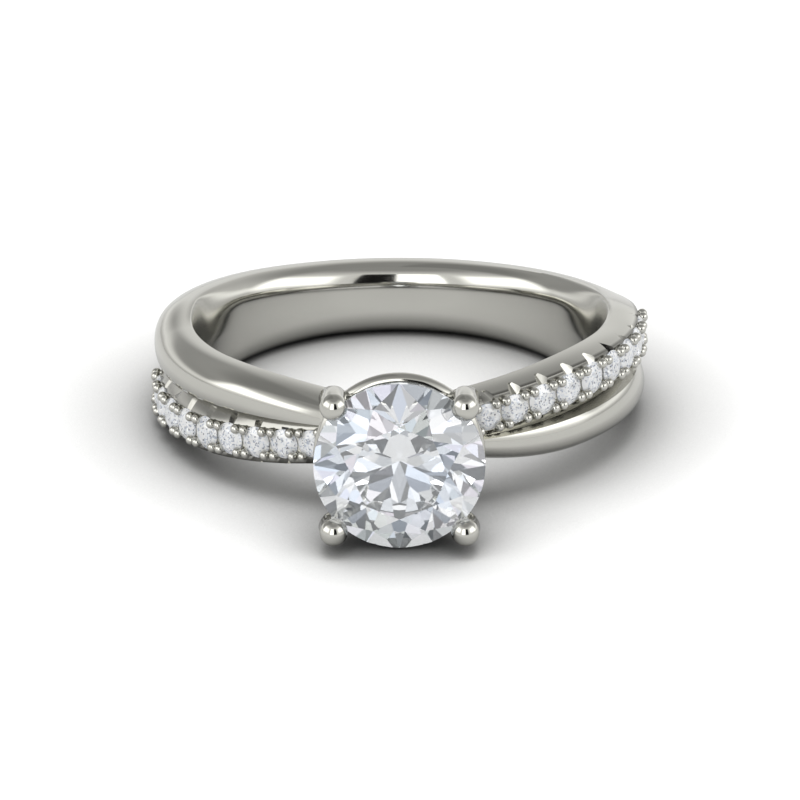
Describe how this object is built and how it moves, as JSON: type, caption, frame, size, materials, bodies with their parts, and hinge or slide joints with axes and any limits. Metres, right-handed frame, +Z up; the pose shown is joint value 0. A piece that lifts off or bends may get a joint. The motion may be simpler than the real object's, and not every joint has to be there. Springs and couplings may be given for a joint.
{
  "type": "split-shank engagement ring",
  "caption": "Polished and stone-set strands cross under a round stone held by ball-tipped prongs, then run together into one rounded finger band.",
  "frame": {"origin": "bottom centre of the bounding box, on the surface the ring rests on", "axes": "+Z up from the surface, the head with the large stone points to -Y, +X to the right as seen from the head; the ring axis leans 5.5 degrees from +Z toward +Y because the ring rests on the rail under its head"},
  "size_m": [0.0214, 0.026, 0.0075],
  "materials": {
    "white_gold": "polished",
    "clear_gem": "polished facets"
  },
  "bodies": {
    "root": {"ring_mount": "white_gold", "centre_stone": "clear_gem", "pave_stone_01": "clear_gem", "pave_stone_02": "clear_gem", "pave_stone_03": "clear_gem", "pave_stone_04": "clear_gem", "pave_stone_05": "clear_gem", "pave_stone_06": "clear_gem", "pave_stone_07": "clear_gem", "pave_stone_08": "clear_gem", "pave_stone_09": "clear_gem", "pave_stone_10": "clear_gem", "pave_stone_11": "clear_gem", "pave_stone_12": "clear_gem", "pave_stone_13": "clear_gem", "pave_stone_14": "clear_gem", "pave_stone_15": "clear_gem", "pave_stone_16": "clear_gem", "pave_stone_17": "clear_gem", "pave_stone_18": "clear_gem"}
  },
  "joints": []
}
